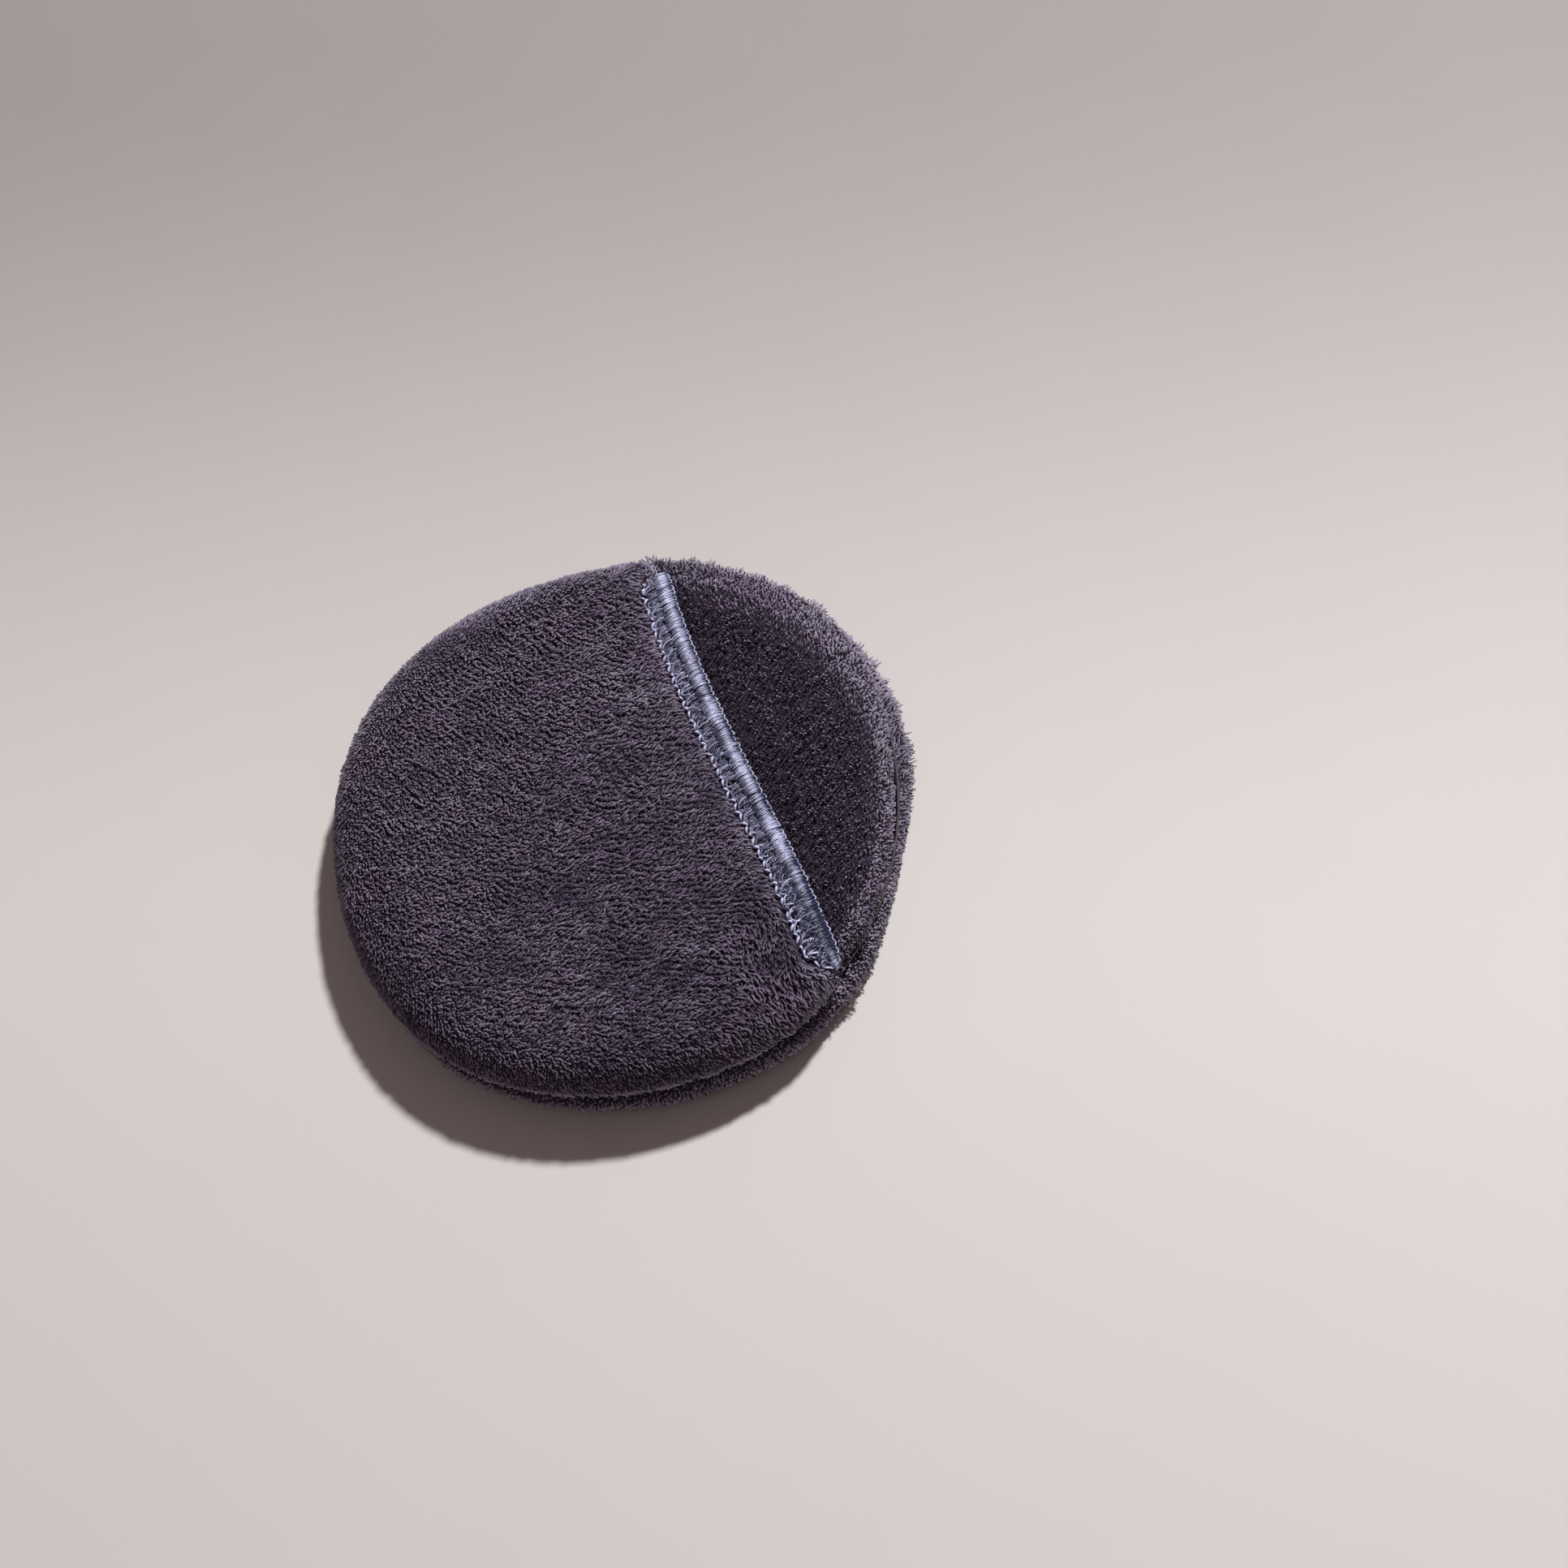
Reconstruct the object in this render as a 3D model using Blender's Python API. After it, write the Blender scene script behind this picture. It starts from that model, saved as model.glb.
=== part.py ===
"""A round, washable cotton pad of plush cloth, with a pocket for the fingers.

Three plush panels are sewn together along the rim. The back panel lies below, the front panel
on it, and the pocket panel on top, which a straight overlocked mouth cuts short. The pad lies
on its back panel. The origin is at the middle of its underside, +Z is up, and +X is the way
that the pocket opens. All lengths are in metres.
"""

import math

import bmesh
import bpy

# The panels
PAD_DIAMETER = 0.090
BACK_THICKNESS = 0.0050
FRONT_THICKNESS = 0.0041
POCKET_THICKNESS = 0.0035
LIP_THICKNESS = 0.0017  # the pocket's plush, squeezed where it wraps the front panel's rim

# How far in from its rim each panel begins to roll over
BACK_UNDER_ROLL = 0.0050
BACK_SEAM_ROLL = 0.0060
FRONT_SEAM_ROLL = 0.0040
FRONT_FACE_ROLL = 0.0040
POCKET_FACE_ROLL = 0.0054

# Heights of the panels' widest places, and of the groove that the rim's seam pulls in
FRONT_BULGE = 0.0016  # above the front panel's underside
POCKET_BULGE = 0.0015  # above the front panel's bulge
SEAM_GROOVE = 0.0019  # between the back panel and the pocket's lip
FRONT_FLARE = 0.0016  # how much further out the front panel's rim swells past the mouth
FLARE_LEAN = 0.45  # how much more of that at the far end of the mouth than in the middle
FLARE_START = 0.0026  # from the mouth's corner, along the rim
FLARE_LENGTH = 0.0060
LIP_TAPER = 0.0011  # how much thinner the lip grows at the mouth's corners
TAPER_LENGTH = 0.0080  # the stretch of the rim over which it does

# The pocket's mouth
MOUTH_OFFSET = 0.0215  # from the pad's middle to the outer side of the mouth's bead
MOUTH_BOW = 0.0012  # how far the mouth curves back towards the fingers
MOUTH_SWAY = 0.0009  # the slight S on top of that curve
POCKET_SLOPE = 0.0022  # from the full plush down to the needle's furrow
FURROW_WIDTH = 0.0012
BAND_WIDTH = 0.0025  # the sunken plush between the furrow and the cut edge
FURROW_HEIGHT = 0.0016
BAND_HEIGHT = 0.0021
EDGE_HEIGHT = 0.0015

# The threads
STITCH_PITCH = 0.0022
BEAD_DIAMETER = 0.0014
BEAD_WAIST = 0.88  # the bead between two turns, as a share of its diameter
LOOPER_DIAMETER = 0.0003
NEEDLE_DIAMETER = 0.0004
NEEDLE_WAIST = 0.55  # the thread where it goes down a needle hole, as a share of its diameter
SEAM_THREAD_DIAMETER = 0.0004
SEAM_DEPTH = 0.0012  # from the front panel's rim in to the rim's seam
END_TUCK = 0.0045  # from the mouth's corner to the threads' ends
TUCK_LENGTH = 0.0025  # over which the plush closes over the band, past the threads' ends

# The hand-cut outline isn't quite round: how many lobes, how high and where each first peaks
OUTLINE_LOBES = ((3, 0.00046, math.radians(41)), (4, 0.00070, math.radians(115)))

CLEARANCE = 0.0003  # left between pieces that touch

# How finely the shapes are drawn
RIM_COLUMNS = 40
MOUTH_COLUMNS = 36
MOUTH_SIDE_COLUMNS = 22
COLUMNS = RIM_COLUMNS + MOUTH_SIDE_COLUMNS
ROLL_STEPS = 4
POINTS_PER_STITCH = 2
SHARP_ANGLE = math.radians(50)
MERGE_DISTANCE = 0.00001

# Colours as linear values
PLUSH_COLOUR = (0.055, 0.044, 0.065, 1)
OVERLOCK_COLOUR = (0.178, 0.181, 0.279, 1)
SEAM_COLOUR = (0.060, 0.052, 0.078, 1)

# What follows from those sizes
pad_radius = PAD_DIAMETER / 2
front_radius = pad_radius - LIP_THICKNESS - CLEARANCE
front_bottom = BACK_THICKNESS + CLEARANCE
front_top = front_bottom + FRONT_THICKNESS
front_bulge = front_bottom + FRONT_BULGE
pocket_bottom = front_top + CLEARANCE
pocket_top = pocket_bottom + POCKET_THICKNESS
pocket_bulge = front_bulge + POCKET_BULGE
cut_x = MOUTH_OFFSET - BEAD_DIAMETER - CLEARANCE
corner_y = math.sqrt(pad_radius**2 - cut_x**2)
corner_angle = math.atan2(corner_y, cut_x)


def arc(centre, radii, first, last, steps=ROLL_STEPS):
    """Points of an ellipse's arc, from the first to the last angle in degrees."""
    angles = [math.radians(first + (last - first) * step / steps) for step in range(steps + 1)]
    return [
        (centre[0] + radii[0] * math.cos(angle), centre[1] + radii[1] * math.sin(angle))
        for angle in angles
    ]


def eased(share):
    """0 below 0, 1 above 1, and a smooth rise between."""
    share = min(max(share, 0.0), 1.0)
    return share * share * (3 - 2 * share)


def lobed(x, y, z):
    """The place of a point once the round outline has its slight lobes."""
    radius = math.hypot(x, y)
    angle = math.atan2(y, x)
    swell = sum(rise * math.cos(count * angle - peak) for count, rise, peak in OUTLINE_LOBES)
    scale = 1 + swell / pad_radius * (radius / pad_radius) ** 2
    return (x * scale, y * scale, z)


def back_surface(radius):
    """Height of the back panel's upper side."""
    past = (radius - (pad_radius - BACK_SEAM_ROLL)) / BACK_SEAM_ROLL
    half = BACK_THICKNESS / 2
    return half + half * math.sqrt(1 - min(max(past, 0.0), 1.0) ** 2)


def front_surface(radius, over=0.0):
    """Height above the front panel's upper side, by the distance over, measured square to it."""
    past = (radius - (front_radius - FRONT_FACE_ROLL)) / (FRONT_FACE_ROLL + over)
    rise = front_top - front_bulge + over
    return front_bulge + rise * math.sqrt(1 - min(max(past, 0.0), 1.0) ** 2)


def front_underside(radius):
    """Height of the front panel's lower side."""
    past = (radius - (front_radius - FRONT_SEAM_ROLL)) / FRONT_SEAM_ROLL
    return front_bulge - FRONT_BULGE * math.sqrt(1 - min(max(past, 0.0), 1.0) ** 2)


def mouth_shift(y):
    """How far the mouth lies in +X from a straight line, at a place along it."""
    share = (1 - y / corner_y) / 2
    return -MOUTH_BOW * math.sin(math.pi * share) - MOUTH_SWAY * math.sin(2 * math.pi * share)


def material(name, colour, roughness):
    made = bpy.data.materials.new(name)
    made.use_nodes = True
    shader = made.node_tree.nodes["Principled BSDF"]
    shader.inputs["Base Color"].default_value = colour
    shader.inputs["Roughness"].default_value = roughness
    shader.inputs["Metallic"].default_value = 0.0
    made.diffuse_color = colour
    return made


def disc_angle(column):
    """The turn of a column, with one at each corner of the mouth."""
    if column < MOUTH_SIDE_COLUMNS:
        return corner_angle * (2 * column / MOUTH_SIDE_COLUMNS - 1)
    share = (column - MOUTH_SIDE_COLUMNS) / RIM_COLUMNS
    return corner_angle + share * 2 * (math.pi - corner_angle)


def turned_panel(name, profile, place, finish):
    """A closed solid spun about Z from a profile that starts and ends on the axis.

    place gives each point from its number along the profile and its column round the axis.
    """
    shape = bmesh.new()
    along = shape.verts.layers.int.new("along")
    points = [shape.verts.new((radius, 0, height)) for radius, height in profile]
    for number, point in enumerate(points):
        point[along] = number
    edges = [shape.edges.new(pair) for pair in zip(points, points[1:])]
    bmesh.ops.spin(
        shape,
        geom=points + edges,
        cent=(0, 0, 0),
        axis=(0, 0, 1),
        angle=2 * math.pi,
        steps=COLUMNS,
        use_merge=True,
    )
    on_axis = [point for point in shape.verts if point[along] in (0, len(profile) - 1)]
    bmesh.ops.remove_doubles(shape, verts=on_axis, dist=MERGE_DISTANCE)
    for point in shape.verts:
        if point[along] not in (0, len(profile) - 1):
            turn = math.atan2(point.co.y, point.co.x) / (2 * math.pi)
            column = round(turn * COLUMNS) % COLUMNS
            point.co = lobed(*place(point[along], column))
    bmesh.ops.recalc_face_normals(shape, faces=shape.faces)
    mesh = bpy.data.meshes.new(name)
    shape.to_mesh(mesh)
    shape.free()
    mesh.shade_smooth()
    mesh.set_sharp_from_angle(angle=SHARP_ANGLE)
    mesh.materials.append(finish)
    panel = bpy.data.objects.new(name, mesh)
    bpy.context.collection.objects.link(panel)
    return panel


def round_panel(name, profile, finish):
    """A panel that keeps its profile all the way round."""

    def place(number, column):
        radius, height = profile[number]
        angle = disc_angle(column)
        return (radius * math.cos(angle), radius * math.sin(angle), height)

    return turned_panel(name, profile, place, finish)


def back_panel(finish):
    """The lower plush disc: flat underneath, rolled at the rim, pulled in towards the seam."""
    half = BACK_THICKNESS / 2
    under = arc((pad_radius - BACK_UNDER_ROLL, half), (BACK_UNDER_ROLL, half), -90, 0)
    over = arc((pad_radius - BACK_SEAM_ROLL, half), (BACK_SEAM_ROLL, half), 0, 90)
    return round_panel("back_panel", [(0, 0), *under, *over[1:], (0, BACK_THICKNESS)], finish)


def front_panel(finish):
    """The upper plush disc, whose rim swells where it shows beyond the pocket's mouth."""
    under = arc(
        (front_radius - FRONT_SEAM_ROLL, front_bulge), (FRONT_SEAM_ROLL, FRONT_BULGE), -90, 0
    )
    over = arc(
        (front_radius - FRONT_FACE_ROLL, front_bulge),
        (FRONT_FACE_ROLL, front_top - front_bulge),
        0,
        90,
    )
    profile = [(0, front_bottom), *under, *over[1:], (0, front_top)]

    def place(number, column):
        radius, height = profile[number]
        angle = disc_angle(column)
        past_corner = (corner_angle - abs(math.remainder(angle, 2 * math.pi))) * pad_radius
        on_rim = max(0.0, 1 - (front_radius - radius) / FRONT_FACE_ROLL)
        above_seam = eased((height - front_bottom) / FRONT_BULGE)
        in_open = eased((past_corner - FLARE_START) / FLARE_LENGTH)
        flare = FRONT_FLARE * (1 + FLARE_LEAN * math.sin(angle))
        radius += flare * on_rim * above_seam * in_open
        return (radius * math.cos(angle), radius * math.sin(angle), height)

    return turned_panel("front_panel", profile, place, finish)


def pocket_profile():
    """The pocket panel's section, from the top's middle over the rim and back underneath."""
    face = arc(
        (pad_radius - POCKET_FACE_ROLL, pocket_bulge),
        (POCKET_FACE_ROLL, pocket_top - pocket_bulge),
        90,
        0,
    )
    lip_radius = pad_radius - LIP_THICKNESS / 2
    lip = (lip_radius, back_surface(lip_radius) + SEAM_GROOVE)
    lining = arc(
        (front_radius - FRONT_FACE_ROLL, front_bulge),
        (FRONT_FACE_ROLL + CLEARANCE, front_top - front_bulge + CLEARANCE),
        0,
        90,
    )
    return [(0, pocket_top), *face, lip, *lining, (0, pocket_bottom)]


def mouth_profile():
    """What is pressed down or cut away at the mouth: places in X, and heights over the lining."""
    band_start = cut_x - BAND_WIDTH
    furrow_start = band_start - FURROW_WIDTH
    full_start = furrow_start - POCKET_SLOPE
    shoulder = arc(
        (full_start, FURROW_HEIGHT),
        (POCKET_SLOPE, POCKET_THICKNESS - FURROW_HEIGHT + CLEARANCE),
        90,
        0,
    )
    band = arc(
        (band_start + BAND_WIDTH / 2, FURROW_HEIGHT),
        (BAND_WIDTH / 2, BAND_HEIGHT - FURROW_HEIGHT),
        180,
        30,
        3,
    )
    return [*shoulder, *band, (cut_x, EDGE_HEIGHT)]


def mouth_cutter():
    """The space over and beyond the mouth, drawn out along it right across the pad.

    Past the threads' ends it rises clear of the plush, which closes over the band there.
    """
    section = mouth_profile()
    beyond = 2 * pad_radius
    reach = pad_radius + BEAD_DIAMETER
    shape = bmesh.new()
    is_edge = shape.verts.layers.int.new("is_edge")
    points = [shape.verts.new((x, -reach, height)) for x, height in section]
    for point in points:
        point[is_edge] = 1
    around = ((cut_x, -beyond), (beyond, -beyond), (beyond, beyond), (section[0][0], beyond))
    points += [shape.verts.new((x, -reach, height)) for x, height in around]
    side = [shape.edges.new(pair) for pair in zip(points, points[1:] + points[:1])]
    for _ in range(MOUTH_COLUMNS):
        grown = bmesh.ops.extrude_edge_only(shape, edges=side)["geom"]
        side = [item for item in grown if isinstance(item, bmesh.types.BMEdge)]
        moved = [item for item in grown if isinstance(item, bmesh.types.BMVert)]
        side = [edge for edge in side if all(end in moved for end in edge.verts)]
        bmesh.ops.translate(shape, verts=moved, vec=(0, 2 * reach / MOUTH_COLUMNS, 0))
    bmesh.ops.holes_fill(shape, edges=shape.edges)
    uncut = POCKET_THICKNESS + CLEARANCE
    for point in shape.verts:
        x, y, height = point.co
        x += mouth_shift(y)
        if point[is_edge]:
            past_threads = abs(y) - (corner_y - END_TUCK + CLEARANCE)
            height += (uncut - height) * eased(past_threads / TUCK_LENGTH)
            height += front_surface(math.hypot(x, y), CLEARANCE)
        point.co = lobed(x, y, height)
    bmesh.ops.recalc_face_normals(shape, faces=shape.faces)
    mesh = bpy.data.meshes.new("mouth_cutter")
    shape.to_mesh(mesh)
    shape.free()
    cutter = bpy.data.objects.new("mouth_cutter", mesh)
    cutter.hide_render = True
    cutter.display_type = "WIRE"
    bpy.context.collection.objects.link(cutter)
    return cutter


def pocket_panel(finish):
    """The third plush panel, pressed thin and cut off at the mouth, where its lip thins out."""
    profile = pocket_profile()
    lip_number = ROLL_STEPS + 2  # the profile's outer points come first, and end with the lip's

    def place(number, column):
        radius, height = profile[number]
        angle = disc_angle(column)
        from_corner = (abs(math.remainder(angle, 2 * math.pi)) - corner_angle) * pad_radius
        on_lip = (radius - front_radius) / (pad_radius - front_radius)
        if number <= lip_number and on_lip > 0:
            radius -= LIP_TAPER * on_lip * eased(1 - from_corner / TAPER_LENGTH)
        return (radius * math.cos(angle), radius * math.sin(angle), height)

    panel = turned_panel("pocket_panel", profile, place, finish)
    cut = panel.modifiers.new("mouth", "BOOLEAN")
    cut.object = mouth_cutter()
    cut.operation = "DIFFERENCE"
    return panel


def thread(name, points, diameter, finish, sides=1, swell=None, closed=False):
    """A thread along its points; swell gives its thickness at each as a share of the diameter."""
    curve = bpy.data.curves.new(name, "CURVE")
    curve.dimensions = "3D"
    curve.bevel_depth = diameter / 2
    curve.bevel_resolution = sides
    curve.use_fill_caps = not closed
    line = curve.splines.new("POLY")
    line.points.add(len(points) - 1)
    for number, point in enumerate(points):
        line.points[number].co = (*lobed(*point), 1)
        line.points[number].radius = swell[number] if swell else 1.0
    line.use_cyclic_u = closed
    curve.materials.append(finish)
    made = bpy.data.objects.new(name, curve)
    bpy.context.collection.objects.link(made)
    return made


def along_mouth(per_stitch):
    """Places along the mouth, evenly spaced, from one end of the threads to the other."""
    length = 2 * (corner_y - END_TUCK)
    count = round(length / STITCH_PITCH) * per_stitch
    return [length * (number / count - 0.5) for number in range(count + 1)]


def over_mouth(across, y, rise):
    """A point beside the mouth, so far in X and so far above the front panel's upper side."""
    x = across + mouth_shift(y)
    return (x, y, front_surface(math.hypot(x, y), rise))


def edge_thread(finish):
    """The bulky thread that packs round the cut edge into a bead, thinner between its turns."""
    places = along_mouth(POINTS_PER_STITCH)
    middle = MOUTH_OFFSET - BEAD_DIAMETER / 2
    points = [over_mouth(middle, y, CLEARANCE + BEAD_DIAMETER / 2) for y in places]
    swell = [1.0 if number % 2 else BEAD_WAIST for number in range(len(points))]
    return thread("overlock_edge_thread", points, BEAD_DIAMETER, finish, 2, swell)


def looper_thread(finish):
    """The thin thread that runs to and fro over the band, once each way for each stitch."""
    stand_off = 2 * CLEARANCE + LOOPER_DIAMETER / 2
    inner = (cut_x - BAND_WIDTH + LOOPER_DIAMETER, BAND_HEIGHT + stand_off)
    middle = (cut_x - LOOPER_DIAMETER, BAND_HEIGHT + stand_off)
    outer = (MOUTH_OFFSET - BEAD_DIAMETER / 2, BEAD_DIAMETER + stand_off)
    turns = (inner, middle, outer, middle)
    points = []
    for number, y in enumerate(along_mouth(len(turns))):
        across, rise = turns[number % len(turns)]
        points.append(over_mouth(across, y, rise))
    return thread("overlock_looper_thread", points, LOOPER_DIAMETER, finish)


def needle_thread(finish):
    """The row of needle stitches in the furrow, each full in its middle and drawn in at its ends."""
    across = cut_x - BAND_WIDTH - FURROW_WIDTH / 2
    rise = 2 * CLEARANCE + FURROW_HEIGHT + NEEDLE_DIAMETER / 2
    points = [over_mouth(across, y, rise) for y in along_mouth(POINTS_PER_STITCH)]
    swell = [1.0 if number % 2 else NEEDLE_WAIST for number in range(len(points))]
    return thread("overlock_needle_thread", points, NEEDLE_DIAMETER, finish, 1, swell)


def seam_thread(finish):
    """The rim's seam, a ring deep in the groove between the front and back panels."""
    radius = front_radius - SEAM_DEPTH
    height = (back_surface(radius) + front_underside(radius)) / 2
    angles = [disc_angle(column) for column in range(COLUMNS)]
    points = [(radius * math.cos(angle), radius * math.sin(angle), height) for angle in angles]
    return thread("rim_seam_thread", points, SEAM_THREAD_DIAMETER, finish, closed=True)


def main():
    for old in list(bpy.data.objects):
        bpy.data.objects.remove(old)
    plush = material("plush", PLUSH_COLOUR, 0.95)
    overlock = material("overlock_thread", OVERLOCK_COLOUR, 0.45)
    seam = material("seam_thread", SEAM_COLOUR, 0.60)
    back_panel(plush)
    front_panel(plush)
    pocket_panel(plush)
    edge_thread(overlock)
    looper_thread(overlock)
    needle_thread(overlock)
    seam_thread(seam)


main()
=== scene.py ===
# %% [markdown]
# # A plush cotton pad, dressed
# The pad is three round panels of deep plush, sewn together at the rim. The top one is a
# pocket for the fingers, and its straight mouth is overlocked with satin thread. The packed
# model gives the exact size and place of every panel and thread. This lesson adds what makes
# cloth look like cloth: thousands of tufts of pile, thread that is wound strand by strand, and
# light that shows them. All lengths are in metres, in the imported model's own frame.

import math

import bmesh
import bpy
import numpy as np
from mathutils import Matrix, Vector, noise


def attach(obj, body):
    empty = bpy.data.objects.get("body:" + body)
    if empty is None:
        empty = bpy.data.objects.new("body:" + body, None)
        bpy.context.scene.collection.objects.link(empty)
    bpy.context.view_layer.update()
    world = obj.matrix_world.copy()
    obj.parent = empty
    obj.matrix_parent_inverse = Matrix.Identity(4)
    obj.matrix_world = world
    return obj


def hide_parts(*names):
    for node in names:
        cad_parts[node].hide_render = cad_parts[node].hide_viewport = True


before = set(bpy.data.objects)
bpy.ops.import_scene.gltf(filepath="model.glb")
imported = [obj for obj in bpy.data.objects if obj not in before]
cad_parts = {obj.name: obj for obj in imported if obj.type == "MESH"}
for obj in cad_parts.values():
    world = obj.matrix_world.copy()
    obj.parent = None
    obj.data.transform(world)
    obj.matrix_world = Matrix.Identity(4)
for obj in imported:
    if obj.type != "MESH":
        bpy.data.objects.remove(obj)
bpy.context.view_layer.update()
threads = {name: node for name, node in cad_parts.items() if "thread" in name}
print("pieces in the frame:", sorted(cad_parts))

# %% [markdown]
# The pile has to know where the mouth of the pocket runs, so these few sizes are the same as
# in the model: the radius of each panel, the heights of its faces and the line of the cut.

# %% Sizes shared with the model
PAD_RADIUS = 0.045
FRONT_RADIUS = 0.043
FRONT_TOP = 0.0094
FRONT_BULGE = 0.0069
FACE_ROLL = 0.0040
CUT_X = 0.0198
CORNER_Y = 0.0404
THREAD_END = CORNER_Y - 0.0045
BAND_START = CUT_X - 0.0025
FURROW_START = BAND_START - 0.0012
OVERLOCK_END_X = 0.0205
STITCH = 0.0022
SEAM_RADIUS = 0.0385
POCKET_GAP = 0.0003
LOBES = ((3, 0.00046, math.radians(41)), (4, 0.00070, math.radians(115)))


def from_middle(points):
    return np.hypot(points[:, 0], points[:, 1])


def lobed(points):
    """Points of the round pad, moved out to its slightly uneven, hand-cut outline."""
    radius = from_middle(points)
    angle = np.arctan2(points[:, 1], points[:, 0])
    swell = sum(rise * np.cos(count * angle - peak) for count, rise, peak in LOBES)
    scale = 1 + swell / PAD_RADIUS * (radius / PAD_RADIUS) ** 2
    return np.column_stack([points[:, 0] * scale, points[:, 1] * scale, points[:, 2]])


def mouth_shift(y):
    """How far the mouth's line leaves the straight, at a place along it."""
    share = (1 - y / CORNER_Y) / 2
    return -0.0012 * np.sin(np.pi * share) - 0.0009 * np.sin(2 * np.pi * share)


def front_height(radius, over):
    """Height at a distance over the front panel's face."""
    past = np.clip((radius - (FRONT_RADIUS - FACE_ROLL)) / (FACE_ROLL + over), 0, 1)
    return FRONT_BULGE + (FRONT_TOP - FRONT_BULGE + over) * np.sqrt(1 - past**2)


def to_mouth(points):
    """How far each point lies past the mouth's cut edge, in +X."""
    return points[:, 0] - mouth_shift(np.clip(points[:, 1], -CORNER_Y, CORNER_Y)) - CUT_X


shifts = [round(float(mouth_shift(y)), 5) for y in (-CORNER_Y, 0, CORNER_Y)]
print("mouth shift at the ends and the middle:", shifts)

# %% [markdown]
# A material is a small program of nodes. Drawing it wire by wire hides the idea, so one class
# wraps a socket and lets numbers be added and multiplied as in plain Python, and one method
# makes any other node from its kind, its settings and what goes into its sockets.

# %% Writing materials as sums
class Signal:
    """A number, colour or vector on its way through a material."""

    def __init__(self, nodes, socket):
        self.nodes = nodes
        self.socket = socket

    def sum(self, operation, first, second):
        return self.nodes.node("Math", {"operation": operation}, {0: first, 1: second})

    def __add__(self, other):
        return self.sum("ADD", self, other)

    def __sub__(self, other):
        return self.sum("SUBTRACT", self, other)

    def __rsub__(self, other):
        return self.sum("SUBTRACT", other, self)

    def __mul__(self, other):
        return self.sum("MULTIPLY", self, other)

    def __pow__(self, other):
        return self.sum("POWER", self, other)

    __radd__ = __add__
    __rmul__ = __mul__


class Nodes:
    """The nodes of one material, or of the world."""

    def __init__(self, tree):
        self.tree = tree

    def node(self, kind, settings=None, sockets=None, out=0):
        made = self.tree.nodes.new("ShaderNode" + kind)
        for name, value in (settings or {}).items():
            if name == "stops":
                ramp = made.color_ramp.elements
                while len(ramp) < len(value):
                    ramp.new(0.5)
                for element, (place, colour) in zip(ramp, value):
                    element.position = place
                    element.color = (*colour, 1)
            else:
                setattr(made, name, value)
        for name, value in (sockets or {}).items():
            if isinstance(value, Signal):
                self.tree.links.new(value.socket, made.inputs[name])
            else:
                made.inputs[name].default_value = value
        return Signal(self, made.outputs[out])


class Finish(Nodes):
    """A material under construction."""

    def __init__(self, name, **fixed):
        self.material = bpy.data.materials.new(name)
        self.material.use_nodes = True
        super().__init__(self.material.node_tree)
        self.shader = self.tree.nodes["Principled BSDF"]
        for socket, value in fixed.items():
            self.shader.inputs[socket.replace("_", " ")].default_value = value

    def attribute(self, name):
        return self.node("Attribute", {"attribute_name": name}, out="Fac")

    def place(self):
        return self.node("TexCoord", out="Object")

    def cloud(self, scale, detail=2.0, place=None):
        """Soft noise over the piece, from 0 to 1."""
        sockets = {"Vector": place or self.place(), "Scale": scale, "Detail": detail}
        return self.node("TexNoise", None, sockets)

    def tinted(self, share, low, high):
        """A colour between two, by a share."""
        return self.blended(share, (*low, 1), (*high, 1))

    def blended(self, share, first, second, blend="MIX"):
        settings = {"data_type": "RGBA", "blend_type": blend}
        return self.node("Mix", settings, {0: share, 6: first, 7: second}, out=2)

    def feed(self, socket, value):
        self.tree.links.new(value.socket, self.shader.inputs[socket])

    def bumped(self, height, distance, strength=1.0):
        sockets = {"Height": height, "Distance": distance, "Strength": strength}
        self.feed("Normal", self.node("Bump", None, sockets))


print("materials are written with", Signal.__name__, Nodes.__name__, "and", Finish.__name__)

# %% [markdown]
# The plush's colour is a dark violet grey. A tuft is painted almost black at its root, as shade
# where no light gets in, and palest at its tip. Each tuft also has a tone of its own, stored on
# its points, which carries painted light and shade besides the cloth's own tone, and broad soft
# patches lean towards plum, as handled plush does. A little sheen stands for the loose fibre ends,
# which light up where the pile is seen from its side.

# %% The plush pile and its ground cloth
ROOT = (0.0300, 0.0240, 0.0450)
DEEP = (0.0500, 0.0395, 0.0720)
PALE = (0.5200, 0.4650, 0.6200)
HOLLOW = (0.0200, 0.0165, 0.0360)
PLAIN = (1.00, 1.00, 1.00)
PLUM = (1.06, 0.90, 1.02)
SHEEN = (0.86, 0.80, 0.92, 1)


def plush_finish(name, bump):
    made = Finish(name, Roughness=0.85, Sheen_Weight=0.16, Sheen_Roughness=0.45, Sheen_Tint=SHEEN)
    made.shader.inputs["Specular IOR Level"].default_value = 0.10
    tone = 0.15 + 0.85 * (made.attribute("tone") + (made.cloud(90, 1) - 0.5) * 0.5)
    body = made.node("ValToRGB", {"stops": [(0.0, HOLLOW), (0.15, DEEP), (1.0, PALE)]}, {0: tone})
    patch = made.cloud(140, 2)
    plum = made.node("ValToRGB", {"stops": [(0.45, PLAIN), (0.70, PLUM)]}, {0: patch})
    body = made.blended(1.0, body, plum, "MULTIPLY")
    # Painted shade: each tuft is darkened from its tip down to the root colour.
    made.feed("Base Color", made.blended(made.attribute("tip"), (*ROOT, 1), body))
    made.bumped(made.cloud(bump, 2), 0.00012, 0.6)
    return made.material


pile_finish = plush_finish("plush_pile", 9000)
print("plush finish:", pile_finish.name)

# %% Ground cloth finish
# Painted shade: the ground cloth is far darker than the pile, as the shade at the bottom of the
# pile.
GROUND_LOW = (0.018, 0.014, 0.023)
GROUND_HIGH = (0.060, 0.047, 0.073)


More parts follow.
